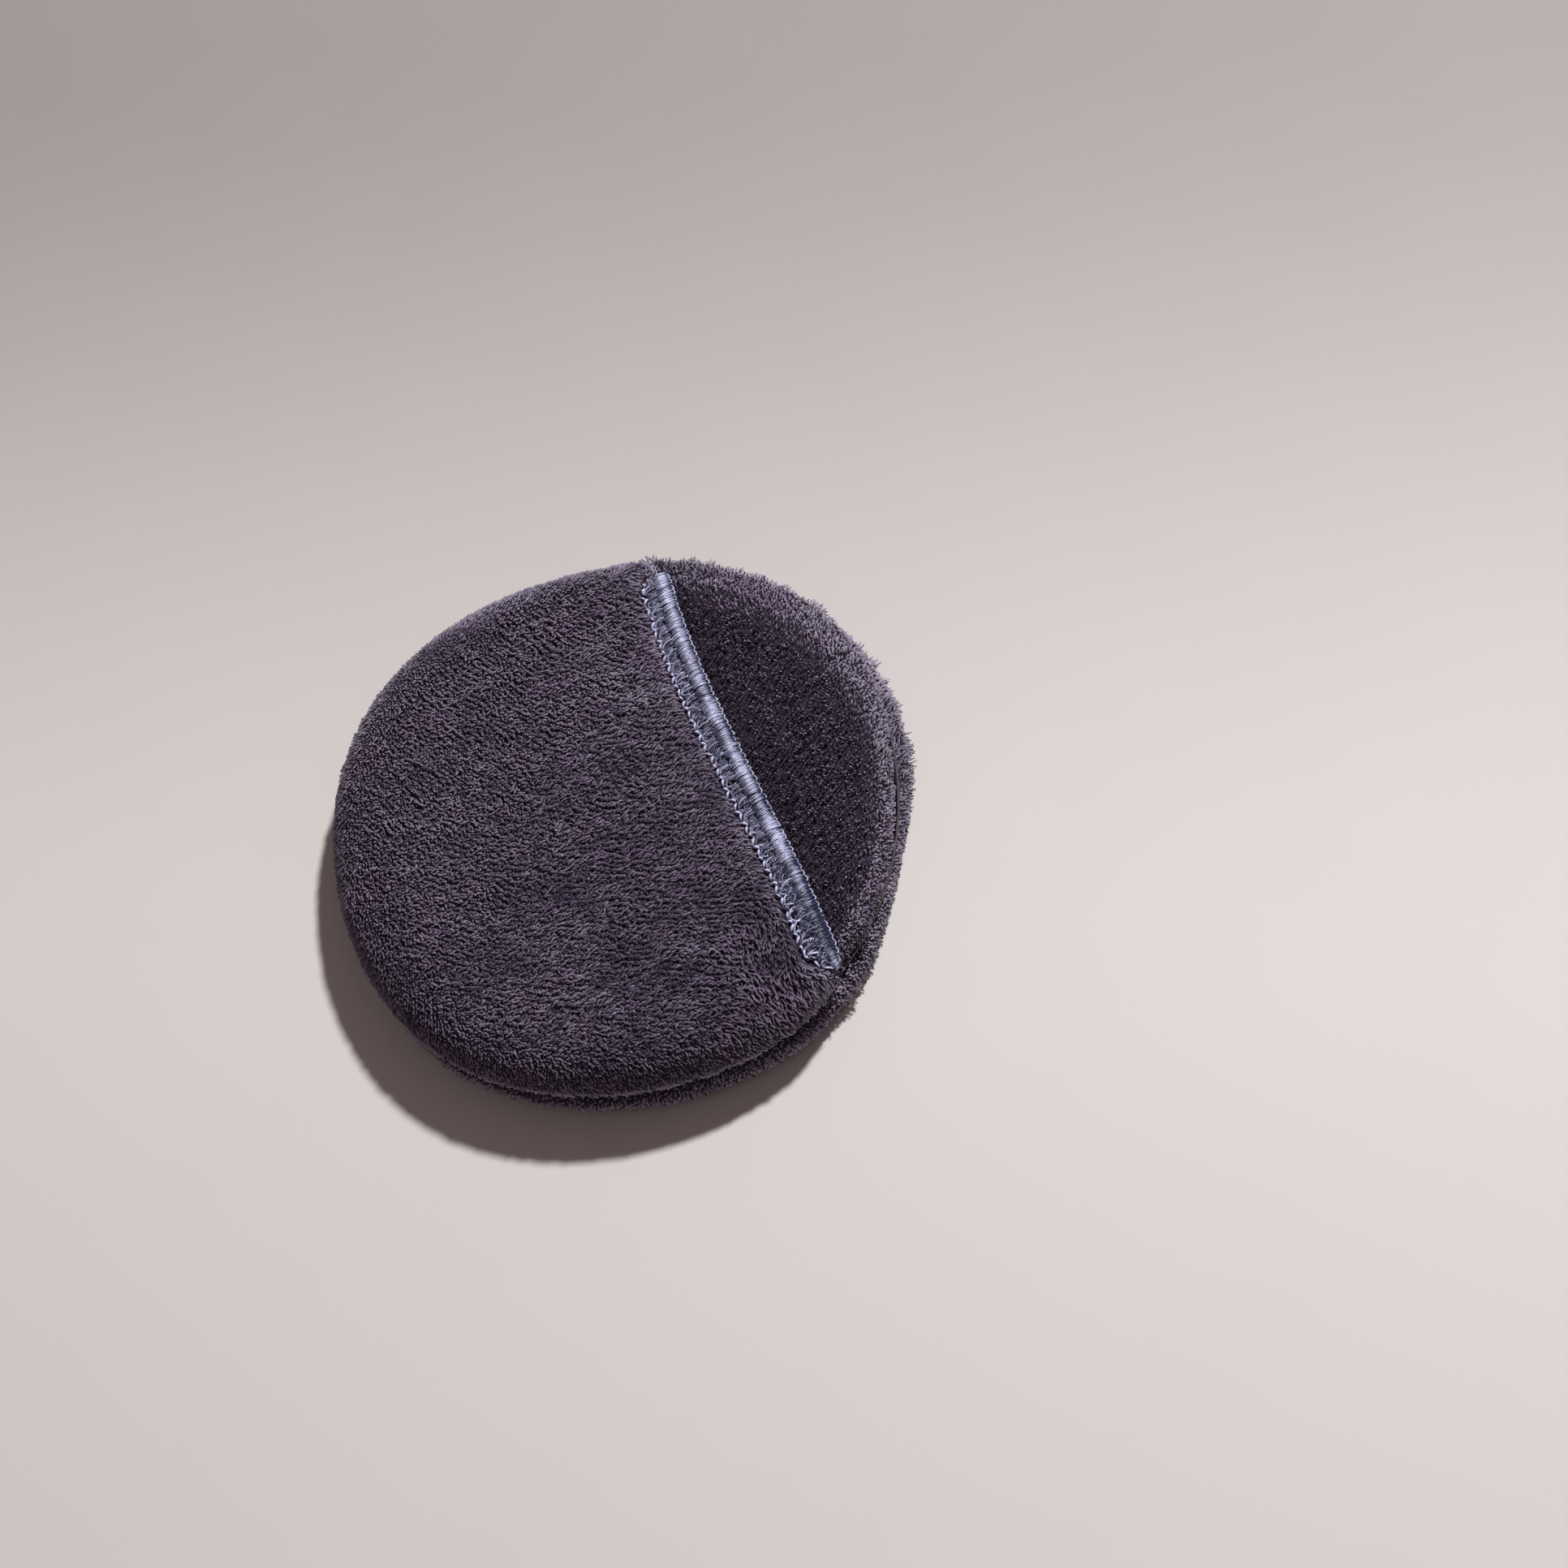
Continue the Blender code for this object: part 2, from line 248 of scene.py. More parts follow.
def ground_finish():
    made = Finish("plush_ground", Roughness=0.95, Sheen_Weight=0.05)
    made.shader.inputs["Specular IOR Level"].default_value = 0.05
    made.feed("Base Color", made.tinted(made.cloud(1800, 3), GROUND_LOW, GROUND_HIGH))
    made.bumped(made.cloud(2200, 3), 0.0004, 0.9)
    return made.material


cloth_finish = ground_finish()
print("ground finish:", cloth_finish.name)

# %% [markdown]
# Under the pile is the knitted ground. Each panel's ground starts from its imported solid, whose
# triangles are merged and remeshed into even squares that cloth can be worked out on. Where the
# panel is in the open, the ground is drawn in by the height of the pile, which brings the
# tufts' tips back to the solid's surface.

# %% Draw the ground cloth in from the solid
PILE = 0.0009


def mesh_object(name, mesh, *finishes):
    made = bpy.data.objects.new(name, mesh)
    bpy.context.scene.collection.objects.link(made)
    for finish in finishes:
        mesh.materials.append(finish)
    return made


def finished(piece):
    """The piece's mesh with its modifiers applied, kept in place of the old one."""
    ready = piece.evaluated_get(bpy.context.evaluated_depsgraph_get())
    mesh = bpy.data.meshes.new_from_object(ready)
    piece.modifiers.clear()
    piece.data = mesh
    return piece


def points_of(mesh):
    flat = np.zeros(len(mesh.vertices) * 3, np.float32)
    mesh.vertices.foreach_get("co", flat)
    return flat.reshape(-1, 3).astype(float)


def normals_of(mesh):
    flat = np.zeros(len(mesh.vertices) * 3, np.float32)
    mesh.vertex_normals.foreach_get("vector", flat)
    return flat.reshape(-1, 3).astype(float)


def set_points(mesh, points):
    mesh.vertices.foreach_set("co", points.astype(np.float32).ravel())
    mesh.update()


def ramp(values, low, high):
    """0 up to low, 1 from high, and a smooth rise between."""
    share = np.clip((values - low) / (high - low), 0, 1)
    return share * share * (3 - 2 * share)


def mesh_of(shape, name):
    """A new mesh from an edited shape, which is freed."""
    mesh = bpy.data.meshes.new(name)
    shape.to_mesh(mesh)
    shape.free()
    return mesh


def ground_cloth(node, square, open_share, shift):
    shape = bmesh.new()
    shape.from_mesh(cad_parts[node].data)
    bmesh.ops.remove_doubles(shape, verts=shape.verts, dist=1e-6)
    bmesh.ops.recalc_face_normals(shape, faces=shape.faces)
    cloth = mesh_object(node + "_ground", mesh_of(shape, node + "_ground"))
    even = cloth.modifiers.new("even squares", "REMESH")
    even.mode = "VOXEL"
    even.voxel_size = square
    even.use_smooth_shade = True
    finished(cloth)
    cloth.data.materials.clear()
    cloth.data.materials.append(cloth_finish)
    points, normals = points_of(cloth.data), normals_of(cloth.data)
    share = open_share(points, normals)
    set_points(cloth.data, points - normals * (PILE * share)[:, None] + shift(points))
    print(node, "ground:", len(points), "points")
    return cloth, share


print("the ground lies", PILE * 1000, "mm under the tips of the pile")

# %% [markdown]
# Which parts are in the open differs. The back panel is covered above by the others, the front
# panel is hidden by the pocket except past the mouth, and the pocket's lining side lies on the
# front panel. The band at the mouth is thin, so its ground is drawn in less. The soft pad's
# outline also leaves the even solid's a little: the rim is drawn in on the right, where its
# two rolls show, and pushed out on the left and at the far end of the mouth.

# %% Where each panel is in the open
FRONT_DRAWN_IN = 0.0020


def toward(points, heading, spread):
    """1 on the side of the pad that a heading points to, less and less away from it."""
    away = np.arctan2(points[:, 1], points[:, 0]) - math.radians(heading)
    return np.exp(-((np.angle(np.exp(1j * away)) / math.radians(spread)) ** 2))


def outward(points):
    radius = from_middle(points)[:, None] + 1e-9
    return np.column_stack([points[:, 0], points[:, 1], np.zeros(len(points))]) / radius


def back_open(points, normals):
    radius = from_middle(points)
    covered = (normals[:, 2] > 0) * (1 - ramp(radius, SEAM_RADIUS, 0.0405))
    under = ramp(-normals[:, 2], 0.2, 0.9)
    return (1 - covered) * (1 - 0.55 * under) * (1 - 0.40 * ramp(radius, 0.0410, 0.0435))


def front_open(points, normals):
    radius = from_middle(points)
    seam = (normals[:, 2] < 0) * (1 - ramp(radius, SEAM_RADIUS, 0.0400))
    roll = 1 - 0.35 * ramp(radius, 0.0400, FRONT_RADIUS)
    return (1 - seam) * ramp(to_mouth(points), -0.004, -0.001) * roll


def pocket_open(points, normals):
    radius = from_middle(points)
    over = points[:, 2] - front_height(radius, POCKET_GAP)
    face = ramp(over, 0.0004, 0.0012) * ramp(normals[:, 2], -0.2, 0.2)
    rim = ramp(radius, FRONT_RADIUS + 0.0004, FRONT_RADIUS + 0.0011)
    past = to_mouth(points)
    thin = 1 - 0.45 * ramp(past, -0.0070, -0.0045) + 0.60 * ramp(past, -0.0014, -0.0006)
    return np.maximum(face * thin, rim * 0.6)


def back_shift(points):
    rim = ramp(from_middle(points), 0.0405, 0.0440)
    out = 0.0009 * toward(points, 140, 26) + 0.0004 * toward(points, -88, 24)
    out += 0.0005 * toward(points, 170, 25)
    out -= 0.0022 * toward(points, -36, 20) + 0.0003 * toward(points, -5, 25)
    near = ramp(points[:, 2], 0.0026, 0.0040) * toward(points, -78, 36)
    raised = np.array([[0.0, 0.0, 0.0010]]) * (rim * near)[:, None]
    return outward(points) * (rim * out)[:, None] + raised


def drawn_in(points):
    """How far the front panel's rim is drawn in, on the side where the double rim shows."""
    return FRONT_DRAWN_IN * toward(points, -20, 34)


def front_radius(points):
    """Distance from the middle, as it was before the rim was drawn in."""
    radius = from_middle(points)
    return radius + drawn_in(points) * ramp(radius + drawn_in(points), SEAM_RADIUS, FRONT_RADIUS)


def front_shift(points):
    radius = from_middle(points)
    past = to_mouth(points)
    slack = ramp(radius, SEAM_RADIUS, FRONT_RADIUS) * drawn_in(points)
    free = np.maximum(ramp(past, 0.0016, 0.0036), ramp(points[:, 1], 0.0363, 0.0376))
    rim = ramp(radius, 0.0330, 0.0425) * ramp(points[:, 2], 0.0040, 0.0060) * free
    far = (rim * toward(points, 60, 26))[:, None] * np.array([0.0001, 0.0005, 0.0007])
    corner = (rim * toward(points, 62, 13))[:, None] * np.array([0.0, 0.0002, 0.0007])
    by_mouth = ramp(past, -0.0032, -0.0018) * (1 - ramp(past, 0.0026, 0.0086))
    filled = by_mouth * ramp(radius, SEAM_RADIUS, 0.0425) * toward(points, 62, 16)
    raised = filled * ramp(past, -0.0028, -0.0014) * (1 - ramp(past, 0.0016, 0.0036))
    up = np.array([[0.0, 0.0, 0.0020]]) * (raised * ramp(points[:, 2], 0.0040, 0.0060))[:, None]
    return far + corner + up + outward(points) * (0.0020 * filled - slack)[:, None]


def pocket_shift(points):
    rim = ramp(from_middle(points), 0.0365, FRONT_RADIUS)
    out = 0.0004 * toward(points, 115, 45) + 0.0011 * toward(points, 140, 26)
    out += 0.0006 * toward(points, 170, 25)
    return outward(points) * (rim * out)[:, None]


print("the front panel's rim is drawn in by up to", FRONT_DRAWN_IN * 1000, "mm")

# %% [markdown]
# Real plush is puffed up between its seams. Cloth simulation gives that swell: the ground is
# blown up gently from inside while its seams and covered sides are pinned. Blender's cloth
# behaves best at the size of a cushion, so a copy ten times as large is simulated, and the
# movement that it finds is brought back, with a cap, onto the real one.

# %% Puff the ground cloth up
LARGER = 10
FRAMES = 20
PRESSURE = 4.0
SWELL_CAP = 0.0003


def puffed(cloth, share):
    trial = bpy.data.objects.new("trial", cloth.data.copy())
    bpy.context.scene.collection.objects.link(trial)
    start = points_of(trial.data)
    set_points(trial.data, start * LARGER)
    pinned = trial.vertex_groups.new(name="pinned")
    for number, value in enumerate(share):
        pinned.add([number], 1 - float(value), "REPLACE")
    blown = trial.modifiers.new("puff", "CLOTH")
    blown.settings.quality = 5
    blown.settings.mass = 0.02
    blown.settings.vertex_group_mass = "pinned"
    blown.settings.use_pressure = True
    blown.settings.uniform_pressure_force = PRESSURE
    blown.settings.effector_weights.gravity = 0
    for frame_number in range(1, FRAMES + 1):
        bpy.context.scene.frame_set(frame_number)
    moved = trial.evaluated_get(bpy.context.evaluated_depsgraph_get())
    travel = points_of(moved.data) / LARGER - start
    bpy.context.scene.frame_set(1)
    far = np.linalg.norm(travel, axis=1)
    print(cloth.name, "moved at most", round(float(far.max()) * 1000, 2), "mm before the cap")
    limit = np.minimum(1, SWELL_CAP * share / np.maximum(far, 1e-9))
    set_points(cloth.data, start + travel * limit[:, None])
    bpy.data.objects.remove(trial)
    finer = cloth.modifiers.new("finer", "SUBSURF")
    finer.levels = finer.render_levels = 1
    finished(cloth)
    cloth.data.shade_smooth()
    return cloth


grounds = {}
for node, square, open_share, shift in (
    ("back_panel", 0.0016, back_open, back_shift),
    ("front_panel", 0.0016, front_open, front_shift),
    ("pocket_panel", 0.0010, pocket_open, pocket_shift),
):
    cloth, share = ground_cloth(node, square, open_share, shift)
    grounds[node] = puffed(cloth, share)
    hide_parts(node)
    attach(cloth, "root")

# %% [markdown]
# The pile is real geometry. First come its places: points are thrown at random on the ground
# and kept only where no earlier one is too near, which gives an even spread with no rows of
# its own. Each keeps the direction in which the cloth faces there.

# %% Spread places evenly over a ground
THROWS = 9


def spread(cloth, apart, keep, seed):
    mesh = cloth.data
    mesh.calc_loop_triangles()
    corners = np.zeros(len(mesh.loop_triangles) * 3, np.int32)
    mesh.loop_triangles.foreach_get("vertices", corners)
    corners = corners.reshape(-1, 3)
    points, normals = points_of(mesh), normals_of(mesh)
    middles = points[corners].mean(axis=1)
    facing = normals[corners].mean(axis=1)
    corners = corners[keep(middles, facing)]
    a, b, c = (points[corners[:, side]] for side in range(3))
    area = np.linalg.norm(np.cross(b - a, c - a), axis=1) / 2
    chance = np.random.default_rng(seed)
    thrown = int(area.sum() / apart**2 * THROWS)
    chosen = chance.choice(len(corners), thrown, p=area / area.sum())
    first, second = chance.random((2, thrown))
    fold = first + second > 1
    first[fold], second[fold] = 1 - first[fold], 1 - second[fold]
    weights = np.column_stack([1 - first - second, first, second])
    places = np.einsum("nk,nkd->nd", weights, points[corners[chosen]])
    ways = np.einsum("nk,nkd->nd", weights, normals[corners[chosen]])
    ways /= np.linalg.norm(ways, axis=1)[:, None]
    taken, kept = {}, []
    cells = np.floor(places / apart).astype(int)
    near = [(i, j, k) for i in (-1, 0, 1) for j in (-1, 0, 1) for k in (-1, 0, 1)]
    for number, (cell, place) in enumerate(zip(cells.tolist(), places.tolist())):
        free = True
        for i, j, k in near:
            for other in taken.get((cell[0] + i, cell[1] + j, cell[2] + k), ()):
                if math.dist(other, place) < apart:
                    free = False
                    break
            if not free:
                break
        if free:
            taken.setdefault(tuple(cell), []).append(place)
            kept.append(number)
    print(cloth.name, "places:", len(kept))
    return places[kept], ways[kept]


for node, cloth in grounds.items():
    area = sum(face.area for face in cloth.data.polygons)
    print(node, "ground, in square centimetres:", round(area * 1e4, 1))

# %% [markdown]
# One tuft is a small ball of three sides, pulled out into a lock. An Array modifier makes as
# many copies as there are places, and then each copy's points are moved: the lock rises from
# the ground and bends over the way that the pile lies. Its shading normals are turned towards
# the ground's, which keeps neighbours from looking like separate beads.

# %% Plant a tuft on every place
SIDES, RINGS = 3, 3
SIZE_SPREAD = 0.22
FLATNESS = 0.8
CLEARANCE = 0.00002


def tuft_mesh():
    """A ball of one unit's radius: its Z becomes the way along a tuft, X and Y its section."""
    shape = bmesh.new()
    bmesh.ops.create_uvsphere(shape, u_segments=SIDES, v_segments=RINGS, radius=1)
    return mesh_of(shape, "tuft")


def copied(piece, count):
    """The piece's mesh repeated in place, ready for its points to be moved."""
    copies = piece.modifiers.new("copies", "ARRAY")
    copies.count = count
    copies.use_relative_offset = False
    copies.use_constant_offset = True
    copies.constant_offset_displace = (0, 0, 0)
    return finished(piece)


def store(mesh, label, values):
    """One number for each point of the mesh, for its material to read."""
    stored = mesh.attributes.new(label, "FLOAT", "POINT")
    stored.data.foreach_set("value", values.astype(np.float32))


def planted(
    name, places, ways, lie, length, height, width, tone, seed,
    turn=0.3, softness=0.45, spread_tone=0.16, fade=1.3,
):
    """A tuft on each place, lying along lie; a size or a tone is one number, or one for each."""
    many = len(places)
    tuft = tuft_mesh()
    unit = points_of(tuft)
    piece = copied(mesh_object(name, tuft, pile_finish), many)
    chance = np.random.default_rng(seed)
    each = (np.broadcast_to(value, many) for value in (length, height, width, tone))
    length, height, width, tone = each
    size = 1 + SIZE_SPREAD * chance.standard_normal(many).clip(-2, 2)
    lie = lie - ways * np.einsum("nd,nd->n", lie, ways)[:, None]
    lie /= np.linalg.norm(lie, axis=1)[:, None] + 1e-12
    side = np.cross(ways, lie)
    angle = turn * chance.standard_normal(many).clip(-2.5, 2.5)
    lie = lie * np.cos(angle)[:, None] + side * np.sin(angle)[:, None]
    side = np.cross(ways, lie)
    along = (unit[:, 2] + 1) / 2
    bend = np.pi / 2 * along
    forward, upward = 1 - np.cos(bend), np.sin(bend)
    run = (length * size)[:, None] * forward[None, :]
    rise = (height * size)[:, None] * upward[None, :]
    thick = (1.05 - 0.35 * along)[None, :] * (width * size)[:, None] / 2
    slope = np.arctan2((height[:, None] * np.cos(bend)), (length[:, None] * np.sin(bend) + 1e-9))
    across = thick * unit[None, :, 0]
    over = thick * unit[None, :, 1] * FLATNESS
    run = run - over * np.sin(slope)
    rise = rise + over * np.cos(slope)
    spots = (
        places[:, None, :]
        + lie[:, None, :] * run[..., None]
        + side[:, None, :] * across[..., None]
        + ways[:, None, :] * rise[..., None]
    )
    mesh = piece.data
    spots = spots.reshape(-1, 3)
    spots[:, 2] = np.maximum(spots[:, 2], CLEARANCE)
    set_points(mesh, spots)
    tips = np.broadcast_to(along, (many, len(along)))
    tones = np.repeat(tone + spread_tone * chance.standard_normal(many), len(along))
    store(mesh, "tip", tips.ravel() ** fade)
    store(mesh, "tone", tones)
    mesh.shade_smooth()
    softness = np.repeat(np.broadcast_to(softness, many), len(along))[:, None]
    soft = normals_of(mesh) * (1 - softness) + np.repeat(ways, len(along), axis=0) * softness
    mesh.normals_split_custom_set_from_vertices(soft / np.linalg.norm(soft, axis=1)[:, None])
    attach(piece, "root")
    print(name, "tufts:", many, "triangles:", many * SIDES * (2 * RINGS - 2))


print("one tuft has", len(tuft_mesh().polygons), "faces")

# %% [markdown]
# The pocket's pile lies in fine wavy rows, as the knitting does. A smooth field of heights
# stands for them: its level lines are the rows. They run one way over most of the face, bend
# round in the far left part, and noise makes them waver. Tufts lean along the rows and are
# drawn a little towards each row's middle, which leaves dark lanes between.

# %% The rows of the pocket's pile
ROW = 0.00082


def noise_at(x, y, z):
    """Smooth noise at each place, from about -0.5 to 0.5."""
    return np.array([noise.noise(place) for place in zip(*np.broadcast_arrays(x, y, z))])


def row_field(points):
    """The height whose level lines are the rows."""
    x, y = points[:, 0], points[:, 1]
    past = -(0.716 * x - 0.698 * y + 0.012) / 0.006
    bent = 0.006 * np.logaddexp(0, past)
    waver = noise_at(x * 140, y * 140, 1.7)
    finer = noise_at(x * 420, y * 420, 5.1)
    return 0.446 * x + 0.895 * y - 0.61 * bent + 0.0011 * waver + 0.0003 * finer


def wavering(points, scale, layer):
    """Noise over the points; a layer is a pattern of its own."""
    x, y, z = points.T * scale
    return noise_at(x, y, z + layer)


def row_slopes(points):
    step = 0.0003
    here = row_field(points)
    east = row_field(points + np.array([step, 0, 0]))
    north = row_field(points + np.array([0, step, 0]))
    return here, (east - here) / step, (north - here) / step


def into_rows(points, share):
    """The points drawn towards the middles of their rows, and the way each row runs."""
    here, east, north = row_slopes(points)
    missing = (np.round(here / ROW) * ROW - here) * share
    steep = east**2 + north**2
    moved = points.copy()
    moved[:, 0] += missing * east / steep
    moved[:, 1] += missing * north / steep
    length = np.sqrt(steep)
    return moved, np.column_stack([north / length, -east / length, np.zeros(len(points))])


def along_rows(points):
    """Noise drawn out along the rows."""
    across = row_field(points) * 900
    along = (0.895 * points[:, 0] - 0.446 * points[:, 1]) * 260
    return noise_at(across, along, 9.4)


print("rows of pile:", ROW * 1000, "mm apart")

# %% The pocket's pile
def mixed(first, second, share):
    return first * (1 - share)[:, None] + second * share[:, None]


def mouth_ends(y):
    """How close a place along the mouth is to its near and to its far end, each 0 to 1."""
    return ramp(-y, 0.0345, 0.0385), ramp(y, 0.0335, 0.0366)


def on_pocket(points, normals):
    radius = from_middle(points)
    over = points[:, 2] - front_height(radius, POCKET_GAP)
    rim = radius > FRONT_RADIUS + 0.0006
    face = (over > 0.0004) & (normals[:, 2] > -0.1)
    past = to_mouth(points)
    y = points[:, 1]
    closed = ((y > THREAD_END + 0.0008) | (y < -THREAD_END - 0.0024)) & (past < 0.0002)
    near, far = mouth_ends(y)
    limit = -0.0042 + 0.0022 * near + 0.0013 * far
    return (face | rim) & ((past < limit) | closed)


def pocket_pile():
    cloth = grounds["pocket_panel"]
    places, ways = spread(cloth, apart=0.00037, keep=on_pocket, seed=11)
    radius = from_middle(places)
    rim = ramp(radius, SEAM_RADIUS, 0.0435)
    rowed, along = into_rows(places, 0.36)
    places = mixed(rowed, places, ramp(radius, 0.0370, 0.0400))
    corner = np.exp(-((places[:, 0] - 0.014) ** 2 + (places[:, 1] + 0.034) ** 2) / 0.009**2)
    lie = mixed(along, np.array([[-0.30, -0.95, 0.0]]), corner)
    lie = mixed(lie, outward(places) + np.array([[0, 0, -0.5]]), rim * 0.45)
    clump = 0.5 * wavering(places, 800, 3.3) + 0.8 * along_rows(places)
    length = (0.00072 + 0.0005 * corner - 0.00020 * rim) * (1 + 0.2 * clump)
    height = 0.00068 * (1 - 0.40 * rim) * (1 + 0.30 * clump)
    x, y = places[:, 0], places[:, 1]
    # Painted light: the tone is painted much paler towards the far side, and a little paler towards
    # the left, the near side, the near left and the mouth, as the pile catches the light there.
    painted_light = 0.27 * ramp(y, -0.036, 0.036) + 0.04 * ramp(-x, 0.012, 0.038)
    painted_light += 0.05 * ramp(-y, 0.0, 0.030) + 0.04 * ramp(x, 0.002, 0.014)
    tip = np.exp(-((x - 0.0190) ** 2 + (y + 0.0405) ** 2) / 0.0035**2)
    painted_light += 0.10 * ramp(-x, 0.0, 0.030) * ramp(-y, 0.0, 0.030)
    painted_light += 0.03 * ramp(-x, 0.020, 0.038) - 0.05 * corner
    # Painted light: the near side's rim, which the lamp leaves in shade, is painted paler, and the
    # whole rim a little paler, as sheen.
    near = 0.42 * ramp(radius, 0.0405, 0.0440) * toward(places, -95, 55)
    tone = 0.26 + painted_light + near + 0.14 * rim + 0.04 * corner + 0.22 * tip + 0.28 * clump
    tone += 0.10 * wavering(places, 110, 8.2)
    width = 0.00038 - 0.00004 * rim
    softness = 0.68 + 0.12 * rim
    half = len(places) // 2
    order = np.argsort(x + y * 0.2)
    halves = (("pocket_pile_far", order[:half], 21), ("pocket_pile_near", order[half:], 22))
    for name, part, seed in halves:
        planted(
            name, places[part], ways[part], lie[part], length=length[part], height=height[part],
            width=width[part], tone=tone[part], seed=seed, turn=0.38, softness=softness[part],
            spread_tone=0.12,
        )


pocket_pile()

# %% [markdown]
# At the mouth, the plush is crushed under the overlocking, so the band's tufts are short, flat
# and paler. Past the mouth the front panel's pile has hardly been touched: it stands upright
# in small dots, dark between them. Its tone is painted paler where it rolls over the rim, as
# sheen, and painted darker beside the bead, as shade.

# %% The crushed band and the front panel's pile
def on_band(points, normals):
    radius = from_middle(points)
    over = points[:, 2] - front_height(radius, POCKET_GAP)
    past = to_mouth(points)
    near, far = mouth_ends(points[:, 1])
    limit = -0.0029 + 0.0018 * near + 0.0011 * far
    return (over > 0.0004) & (normals[:, 2] > 0.1) & (past >= limit) & (past < -0.0003)


def band_pile():
    cloth = grounds["pocket_panel"]
    places, ways = spread(cloth, apart=0.00030, keep=on_band, seed=12)
    across = np.broadcast_to([0.8, 0.5, 0.0], places.shape)
    planted(
        "band_pile", places, ways, across, length=0.00045, height=0.00050, width=0.00034,
        tone=0.80, seed=23, turn=1.4, softness=0.7,
    )


FRONT_RIM = 0.0400


def on_front(points, normals):
    open_face = (to_mouth(points) > -0.0012) & (normals[:, 2] > 0)
    return open_face & (front_radius(points) < FRONT_RIM)


def on_front_rim(points, normals):
    return (to_mouth(points) > -0.0030) & (front_radius(points) >= FRONT_RIM)


def front_pile():
    cloth = grounds["front_panel"]
    places, ways = spread(cloth, apart=0.00043, keep=on_front, seed=13)
    rim = ramp(front_radius(places), 0.0340, 0.0410)
    lie = mixed(np.array([[-0.6, -0.3, 0.0]]), outward(places), rim)
    clump = wavering(places, 1100, 4.1)
    # Painted shade and sheen: the tone is painted darker beside the bead, as shade, and paler
    # towards the rim, as sheen.
    painted_bead_shade = 1 - ramp(to_mouth(places), 0.0015, 0.0080)
    lit = 0.95 * np.random.default_rng(18).random(len(places)) ** 1.6
    tone = 0.42 * rim - 0.34 * painted_bead_shade + lit * (1 - 0.6 * rim) + 0.60 * clump
    tone += 0.12 * wavering(places, 120, 2.4)
    height = 0.00085 * (1 + 0.4 * clump) * (1 - 0.2 * rim)
    planted(
        "front_pile", places, ways, lie, length=0.00040, height=height, width=0.00036, tone=tone,
        seed=24, turn=0.9, softness=0.20 + 0.58 * rim, spread_tone=0.22, fade=1.7,
    )
    places, ways = spread(cloth, apart=0.00030, keep=on_front_rim, seed=17)
    clump = wavering(places, 700, 6.4)
    # Painted light: the rim's tone is set pale, as sheen on the rolled pile, and painted paler
    # still on the right.
    tone = 0.60 + 0.30 * clump + 0.52 * toward(places, -10, 50)
    locks = ramp(wavering(places, 500, 3.9), 0.08, 0.30)
    height = 0.00052 * (1 + 0.5 * clump) * (1 + locks)
    planted(
        "front_rim_pile", places, ways, outward(places), length=0.0004, height=height,
        width=0.00027, tone=tone, seed=27, turn=1.5, softness=0.88, spread_tone=0.10,
    )


band_pile()
front_pile()

# %% [markdown]
# The back panel's rim shows under the other two, and its underside is the second face of the
# pad. There the pile is pressed flat by what it lies on, so its tufts are low and never reach
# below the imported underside.

# %% The back panel's pile
UNDERSIDE = -0.75


def on_back_rim(points, normals):
    return (from_middle(points) > 0.0392) & (normals[:, 2] > UNDERSIDE)


def on_back_face(points, normals):
    return normals[:, 2] <= UNDERSIDE


def back_pile():
    cloth = grounds["back_panel"]
    places, ways = spread(cloth, apart=0.00034, keep=on_back_rim, seed=14)
    down = np.array([[0, 0, -0.25]])
    clump = wavering(places, 600, 7.7)
    edge = ramp(from_middle(places), 0.0422, 0.0442)
    # Painted light: the tone is painted paler at the outer edge, as sheen, and much paler on the
    # near side, where the pocket's rim shades it; the low fade keeps the painted root shade short.
    tone = 0.46 + 0.42 * edge + 0.30 * clump + 0.80 * toward(places, -72, 48)
    shaggy = toward(places, 10, 40) + toward(places, -64, 14)
    locks = ramp(wavering(places, 500, 5.9), 0.05, 0.30) * shaggy
    height = 0.00044 * (1 + 0.5 * clump) * (1 + 0.35 * toward(places, 5, 30)) * (1 + locks)
    planted(
        "back_rim_pile", places, ways, outward(places) + down, length=0.0004, height=height,
        width=0.00031, tone=tone, seed=25, turn=1.2, softness=0.86, spread_tone=0.10, fade=0.55,
    )
    places, ways = spread(cloth, apart=0.00062, keep=on_back_face, seed=15)
    rowed, along = into_rows(places, 0.3)
    planted(
        "back_face_pile", rowed, ways, along, length=0.0010, height=0.00028, width=0.00048,
        tone=0.25, seed=26,
    )


back_pile()

# %% [markdown]
# The overlocking is three threads, and each is a bundle of shiny filaments. Their finish runs
# from a navy to a pale lavender by a tone stored along each filament; on the bead this tone
# paints a highlight along the ridge and shade on its flanks and underside. The finish is also
# smooth enough to catch some light of its own.

# %% Thread finishes
def thread_finish(name, low, high, rough):
    made = Finish(name, Roughness=rough, Sheen_Weight=0.10, Sheen_Roughness=0.4)
    made.shader.inputs["Specular IOR Level"].default_value = 0.6
    grain = made.cloud(6000, 2)
    tone = made.attribute("tone") + (grain - 0.5) * 0.5
    made.feed("Base Color", made.tinted(tone, low, high))
    made.bumped(grain, 0.00006, 0.5)
    return made.material


satin = thread_finish("overlock_satin", (0.018, 0.022, 0.080), (0.610, 0.630, 0.900), 0.30)
# Painted shade: the packed edge thread under the filaments gets a dark navy finish, as the shade
# inside the wrap.
core = thread_finish("overlock_core", (0.030, 0.030, 0.070), (0.060, 0.060, 0.120), 0.55)
seam = thread_finish("rim_seam", (0.030, 0.026, 0.040), (0.090, 0.080, 0.110), 0.60)
threads["overlock_edge_thread"].data.materials[0] = core
threads["rim_seam_thread"].data.materials[0] = seam

